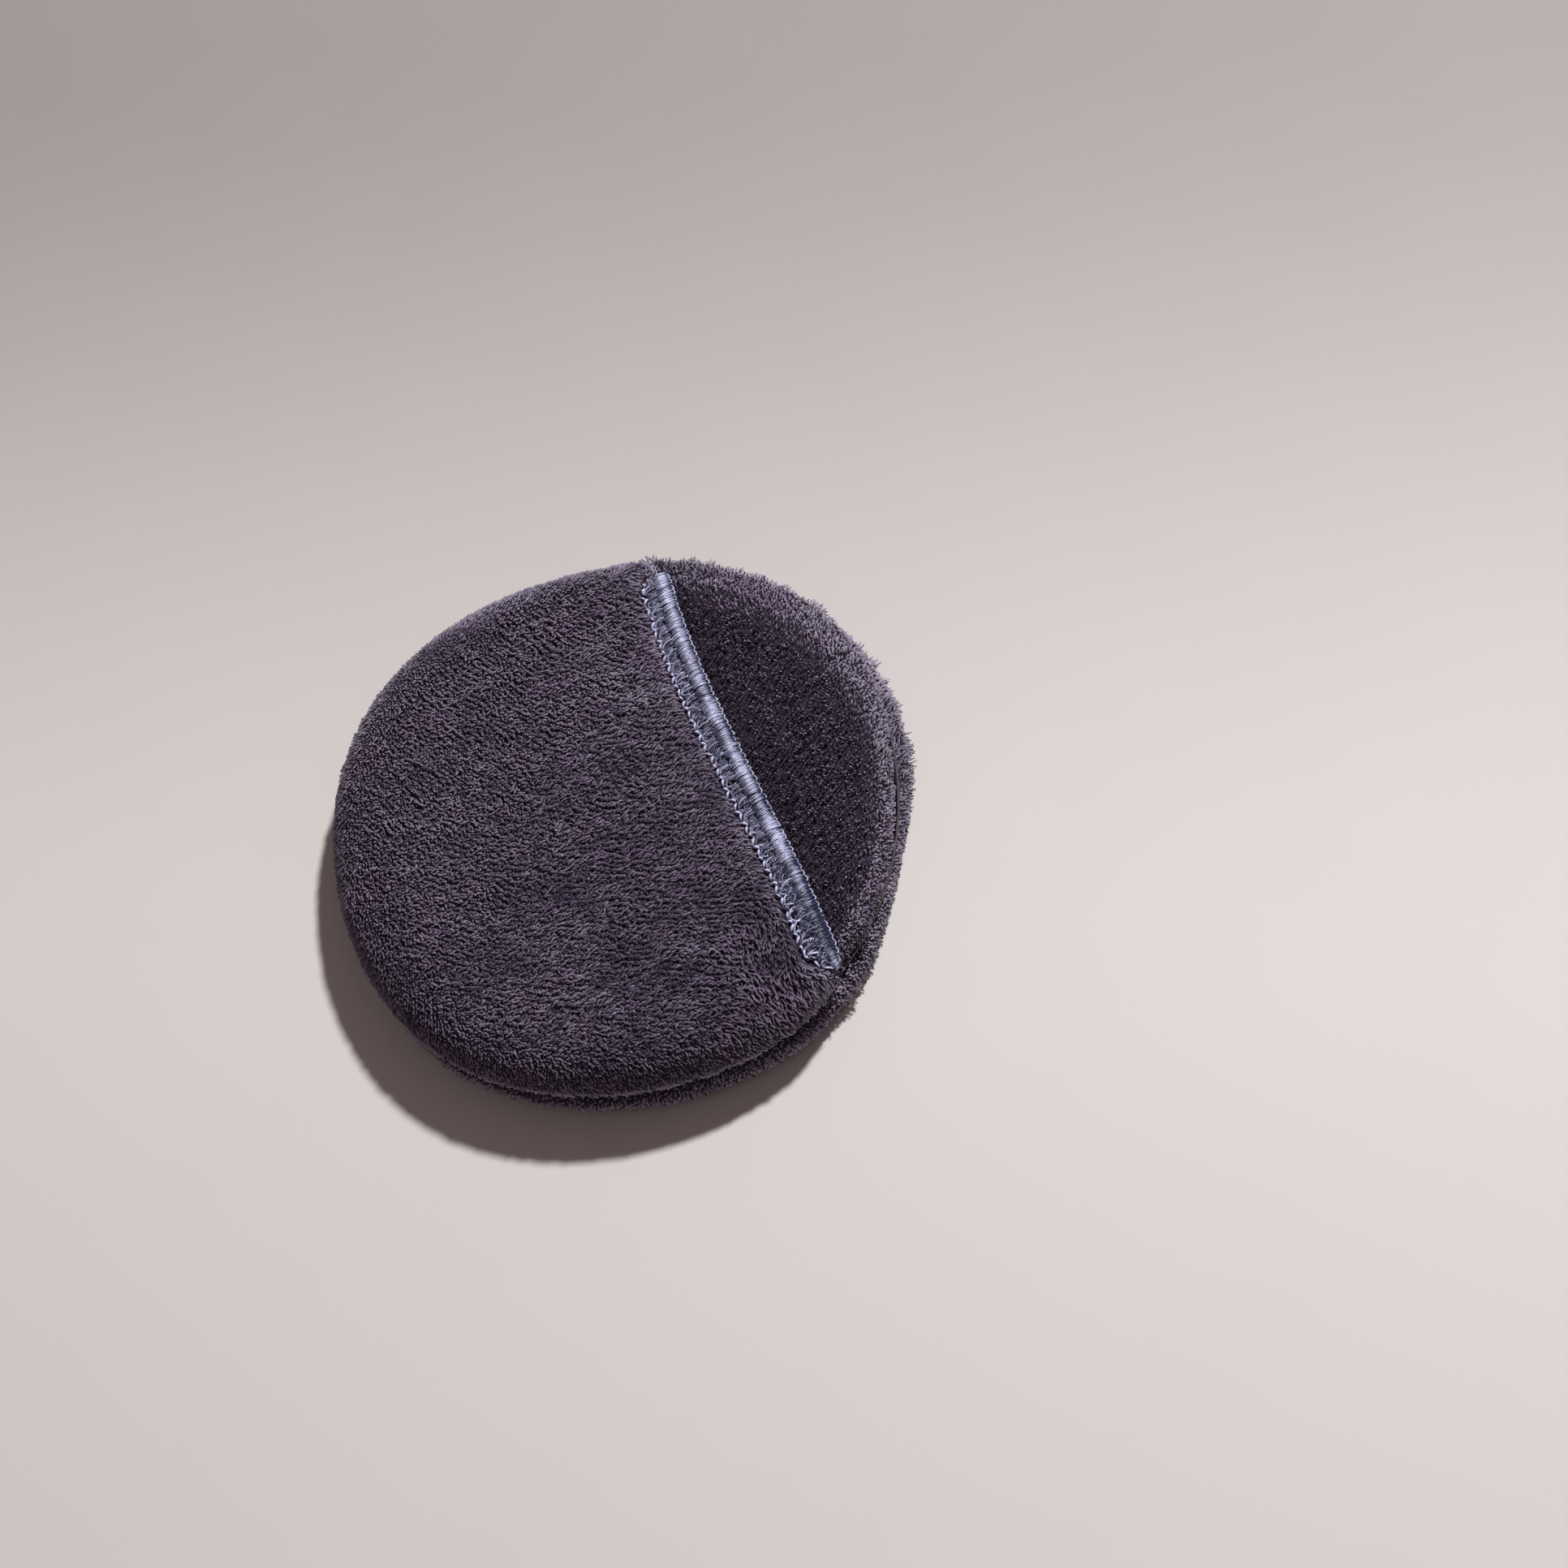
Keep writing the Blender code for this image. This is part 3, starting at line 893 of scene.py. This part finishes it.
# %% [markdown]
# Every thread is made in the same way. One straight tube is drawn out ring by ring, an Array
# modifier copies it, and each copy is bent along a path of its own.

# %% Bend tubes along paths
THREAD_LOW = -THREAD_END - 0.0020
THREAD_HIGH = THREAD_END - 0.0001
ACROSS, UPRIGHT = (0, 1, 0), (0, 0, 1)


def straight_tube(rings, sides):
    shape = bmesh.new()
    bmesh.ops.create_circle(shape, segments=sides, radius=1, cap_ends=True)
    edges = [edge for edge in shape.edges]
    for _ in range(rings - 1):
        grown = bmesh.ops.extrude_edge_only(shape, edges=edges)["geom"]
        moved = [item for item in grown if isinstance(item, bmesh.types.BMVert)]
        lines = [item for item in grown if isinstance(item, bmesh.types.BMEdge)]
        edges = [line for line in lines if all(end in moved for end in line.verts)]
        bmesh.ops.translate(shape, verts=moved, vec=(0, 0, 1))
    bmesh.ops.holes_fill(shape, edges=edges)
    bmesh.ops.recalc_face_normals(shape, faces=shape.faces)
    return mesh_of(shape, "tube")


def tubes(name, paths, thick, tone, sides, guide=UPRIGHT):
    """Tubes along paths, an array of (tube, ring, point); thick is their radius at each ring."""
    many, rings = paths.shape[:2]
    mesh = straight_tube(rings, sides)
    unit = points_of(mesh)
    piece = copied(mesh_object(name, mesh, satin), many)
    ring = np.round(unit[:, 2]).astype(int)
    ahead = np.gradient(paths, axis=1)
    ahead /= np.linalg.norm(ahead, axis=2)[..., None]
    side = np.cross(ahead, np.array(guide, float))
    side /= np.linalg.norm(side, axis=2)[..., None]
    over = np.cross(side, ahead)
    thick = np.broadcast_to(thick, (many, rings))[:, ring, None]
    section = side[:, ring] * unit[None, :, :1] + over[:, ring] * unit[None, :, 1:2]
    spots = paths[:, ring] + thick * section
    set_points(piece.data, lobed(spots.reshape(-1, 3)))
    store(piece.data, "tone", np.broadcast_to(tone, (many, rings))[:, ring].ravel())
    piece.data.shade_smooth()
    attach(piece, "root")
    print(name, "tubes:", many, "triangles:", many * (2 * sides * rings - 4))
    return piece


def over_front(x, y, rise):
    """Points so far over the front panel's face, at x before the mouth's sway is added."""
    near, far = mouth_ends(y)
    narrow = 0.55 * near + 0.35 * far
    x = x + (OVERLOCK_END_X - x) * narrow + mouth_shift(y)
    return np.stack([x, y, front_height(np.hypot(x, y), rise * (1 - 0.25 * narrow))], axis=-1)


print("a tube of 12 rings and 4 sides has", len(straight_tube(12, 4).polygons), "faces")

# %% [markdown]
# The bulky thread wraps the cut edge. Its filaments start on the band, rise over the packed
# bead, which is painted dark as the shade inside the wrap, and tuck in below, each a little
# crooked. The table gives their path: x, the rise over the front panel's face, and how pale they
# are painted there, which is a painted highlight along the ridge and painted shade on the inner
# flank and the underside.

# %% Wrap the bead in filaments
FILAMENTS = 860
ROLL = np.array([
    (0.01845, 0.00235, 0.20), (0.01885, 0.00258, 0.22), (0.01935, 0.00266, 0.26),
    (0.01985, 0.00256, 0.50), (0.02035, 0.00236, 0.96), (0.02085, 0.00204, 0.26),
    (0.02122, 0.00158, -0.20), (0.02140, 0.00112, -0.35), (0.02134, 0.00072, -0.35),
    (0.02110, 0.00042, -0.35),
])


def satin_bead():
    chance = np.random.default_rng(31)
    along = np.linspace(THREAD_LOW, THREAD_HIGH, FILAMENTS)
    along = along + 0.00005 * chance.standard_normal(FILAMENTS)
    uneven = noise_at(along * 1100, 0.5, 2.5)
    scallop = 0.5 + 0.5 * np.cos(along / STITCH * 2 * np.pi)
    start = 0.16 * chance.random(FILAMENTS) ** 2 + 0.09 * scallop
    share = start[:, None] + (1 - start[:, None]) * np.linspace(0, 1, 12)
    knots = np.linspace(0, 1, len(ROLL))
    x, rise, lit = (np.interp(share, knots, ROLL[:, part]) for part in range(3))
    loose = (0.00007 * uneven + 0.00005 * chance.standard_normal(FILAMENTS))[:, None]
    x, rise = x + loose, rise + loose
    lean = 0.0014 + 0.0005 * chance.standard_normal(FILAMENTS)
    y = along[:, None] + lean[:, None] * (share - 0.5)
    thick = 0.00007 * (1 + 0.25 * chance.standard_normal(FILAMENTS).clip(-2, 2))
    taper = np.ones(x.shape[1])
    taper[0] = taper[-1] = 0.4
    patches = noise_at(along * 230, 3.5, 1.5)
    # The strands are darker towards the near end and in soft patches, and paler again at the very
    # end.
    worn = 0.45 * patches - 0.60 * ramp(-along, 0.018, 0.032) + 0.45 * ramp(-along, 0.0350, 0.0372)
    tone = lit + (0.16 * chance.standard_normal(FILAMENTS) + 0.35 * uneven + worn)[:, None]
    thick = thick[:, None] * taper
    tubes("satin_strands", over_front(x, y, rise), thick, tone, sides=4, guide=ACROSS)


satin_bead()

# %% [markdown]
# The thin looper thread fans out from each needle hole to the bead, in arcs like the rungs of
# a crooked ladder, which the hand has worn loose towards the near end. The needle's own
# stitches are short, fat and bright, slanted now one way and now the other, with a dark hole
# between each two.

# %% Looper arcs and needle stitches
NEEDLE_X = (FURROW_START + BAND_START) / 2
HOLES = np.arange(THREAD_LOW + 0.0006, THREAD_HIGH - 0.0008, STITCH)
LOOPERS = ((0.0011, 0.0018, 0.0), (-0.0007, 0.0010, -0.0001), (0.0004, 0.0022, -0.0001))
LOOSE = 1700


def worn_end(y):
    """How worn the band is along the mouth, from 0 to 1."""
    return ramp(-y, 0.018, 0.030)


def looper_arcs():
    chance = np.random.default_rng(32)
    share = np.linspace(0, 1, 9)
    arch = np.sin(np.pi * share)
    crooked = (1 + 1.2 * worn_end(HOLES))[:, None]
    arcs = []
    for sway, reach, height in LOOPERS:
        wild = chance.standard_normal((4, len(HOLES), 1)) * crooked
        x = NEEDLE_X + 0.0002 + share * (reach + 0.0002 * wild[0])
        x = x - 0.0002 * arch + 0.00008 * wild[1]
        y = HOLES[:, None] + (sway + 0.0002 * wild[2]) * np.sin(share * np.pi / 2) ** 0.8
        rise = 0.00215 + height + 0.00030 * share + 0.0002 * arch + 0.0001 * wild[3]
        arcs.append(over_front(x, y, rise))
    paths = np.concatenate(arcs)
    worn = worn_end(paths[:, 0, 1])
    paths[:, :, 2] += 0.00022 * worn[:, None] * arch
    tone = 0.64 + 0.2 * chance.standard_normal(len(paths)) + 0.40 * worn
    piece = tubes("looper_arcs", paths, 0.00011 + 0.00005 * worn[:, None], tone[:, None], sides=5)
    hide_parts("overlock_looper_thread")


def loose_filaments():
    chance = np.random.default_rng(34)
    share = np.linspace(0, 1, 6)
    wild = chance.standard_normal((5, LOOSE, 1))
    rungs = int((THREAD_HIGH - THREAD_LOW) / STITCH)
    rung = THREAD_LOW + 0.0014 + STITCH * chance.integers(0, rungs, (LOOSE, 1))
    worn = worn_end(rung)
    start = NEEDLE_X + 0.0003 + (0.0007 + 0.0006 * worn) * chance.random((LOOSE, 1))
    x = start + share * (0.0011 + 0.0006 * worn + 0.0003 * wild[0])
    y = rung + 0.00042 * wild[4] + share * (0.0005 + (0.0004 + 0.0005 * worn) * wild[1])
    arch = (0.00025 + 0.00035 * worn) * np.sin(np.pi * share)
    rise = 0.00205 + 0.00030 * share + arch + 0.00012 * wild[2]
    tone = 0.40 - 0.10 * worn + (0.18 + 0.50 * worn) * wild[3] - 0.16 * np.abs(wild[4])
    tubes("loose_filaments", over_front(x, y, rise), 0.000055, tone, sides=3)


def edge_loops():
    chance = np.random.default_rng(35)
    starts = np.arange(THREAD_LOW + 0.0008, THREAD_HIGH - 0.0012, STITCH / 2)
    share = np.linspace(0, 1, 7)
    wild = chance.standard_normal((4, len(starts), 1))
    x = 0.02118 + 0.00026 * np.sin(np.pi * share) + 0.00006 * wild[0]
    y = starts[:, None] + (0.00085 + 0.00012 * wild[1]) * share
    rise = 0.00178 - 0.00030 * np.sin(np.pi * share) + 0.00008 * wild[2]
    tubes("edge_loops", over_front(x, y, rise), 0.00010, 0.85 + 0.2 * wild[3], sides=5)


def needle_stitches():
    chance = np.random.default_rng(33)
    share = np.linspace(0, 1, 7)
    dashes, tones = [], []
    for start, stop, slant in ((0.05, 0.55, 0.00030), (0.62, 0.92, -0.00030)):
        wild = chance.standard_normal((3, len(HOLES), 1))
        y = HOLES[:, None] + STITCH * (start + (stop - start) * share) + 0.0001 * wild[0]
        x = NEEDLE_X + slant * (share - 0.5) * 2 * (1 + 0.3 * wild[1]) + 0.00008 * wild[2]
        rise = np.broadcast_to(0.00205 + 0.00040 * np.sin(np.pi * share), x.shape)
        dashes.append(over_front(x, y, rise))
        tones.append(1.0 + 0.15 * chance.standard_normal(len(HOLES)))
    paths = np.concatenate(dashes)
    thick = 0.00021 * (0.55 + 0.45 * np.sin(np.pi * share))
    piece = tubes("needle_stitches", paths, thick, np.concatenate(tones)[:, None], sides=6)
    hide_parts("overlock_needle_thread")


looper_arcs()
loose_filaments()
edge_loops()
needle_stitches()

# %% [markdown]
# The floor is plain and pale near by, and painted greyer far off, as the light falls off there.
# The key light comes from the right and a little behind, about half way up, as the shadow in the
# photograph says, and the pale world fills the shadows in.

# %% Floor
FLOOR_NEAR = (0.72, 0.698, 0.688)
FLOOR_FAR_PAINTED_SHADE = (0.325, 0.300, 0.296)
AWAY = (0.45, 0.89, 0.0)


def floor():
    shape = bmesh.new()
    bmesh.ops.create_grid(shape, x_segments=2, y_segments=2, size=4)
    bmesh.ops.translate(shape, verts=shape.verts, vec=(0, 0, -CLEARANCE))
    paint = Finish("floor_paint", Roughness=0.7)
    dot = {"operation": "DOT_PRODUCT"}
    # Painted shade: the floor's colour darkens far off, as the light falls off.
    away = paint.node("VectorMath", dot, {0: paint.place(), 1: AWAY}, out="Value")
    span = {"Value": away, "From Min": -0.035, "From Max": 0.165}
    far = paint.node("MapRange", {"interpolation_type": "SMOOTHSTEP"}, span)
    mottled = far + (paint.cloud(60, 3) - 0.5) * 0.04
    paint.feed("Base Color", paint.tinted(mottled, FLOOR_NEAR, FLOOR_FAR_PAINTED_SHADE))
    made = mesh_object("floor", mesh_of(shape, "floor"), paint.material)
    print("floor:", [round(side, 2) for side in made.dimensions], "m")


floor()

# %% Light
def lamp(name, heading, height, distance, size, watts, colour):
    """A round lamp aimed at the pad, from a compass heading and a height in degrees."""
    light = bpy.data.lights.new(name, "AREA")
    light.shape = "DISK"
    light.size = size
    light.energy = watts
    light.color = colour
    made = bpy.data.objects.new(name, light)
    bpy.context.scene.collection.objects.link(made)
    turn, lift = math.radians(heading), math.radians(height)
    way = Vector((math.cos(turn) * math.cos(lift), math.sin(turn) * math.cos(lift), math.sin(lift)))
    made.location = way * distance
    made.rotation_euler = way.to_track_quat("Z", "Y").to_euler()


WARM = (1.0, 0.985, 0.97)
lamp("key", heading=33, height=48.5, distance=1.2, size=0.10, watts=16.0, colour=WARM)
world = bpy.data.worlds.new("studio")
world.use_nodes = True
bpy.context.scene.world = world
studio = Nodes(world.node_tree)
fill = studio.node("Background", None, {"Color": (1.0, 0.76, 0.74, 1), "Strength": 0.150})
backdrop = studio.node("Background", None, {"Color": (0.56, 0.53, 0.52, 1)})
kinds = ("Camera", "Glossy", "Transmission")
rays = [studio.node("LightPath", out=f"Is {kind} Ray") for kind in kinds]
either = studio.node("MixShader", None, {0: rays[0] + rays[1] + rays[2], 1: fill, 2: backdrop})
studio.tree.links.new(either.socket, studio.tree.nodes["World Output"].inputs["Surface"])
print("lamps:", len(bpy.data.lights), "world nodes:", len(studio.tree.nodes))
bpy.context.scene.view_settings.view_transform = "Standard"

# %% [markdown]
# The camera looks down at about sixty degrees, along +Y, and is turned so that the mouth of
# the pocket runs across the frame as in the photograph. The object sits left of the middle, so
# the camera is moved sideways in its own plane instead of being aimed at it.

# %% Camera
def camera():
    lift, roll, distance = math.radians(60.21), math.radians(-23.43), 0.4561
    aim, aside, above = Vector((0, 0, 0.0065)), 0.02368, 0.00559
    look = Vector((0, math.cos(lift), -math.sin(lift)))
    level = look.cross(Vector((0, 0, 1))).normalized()
    rise = level.cross(look)
    right = level * math.cos(roll) + rise * math.sin(roll)
    up = rise * math.cos(roll) - level * math.sin(roll)
    lens = bpy.data.cameras.new("camera")
    lens.lens = 70
    lens.sensor_width = 36
    lens.clip_start = 0.01
    made = bpy.data.objects.new("camera", lens)
    bpy.context.scene.collection.objects.link(made)
    place = aim - look * distance + right * aside + up * above
    turned = Matrix((right, up, -look)).transposed().to_4x4()
    made.matrix_world = Matrix.Translation(place) @ turned
    bpy.context.scene.camera = made
    print("camera at", [round(value, 3) for value in place], "m, lens", lens.lens, "mm")


camera()
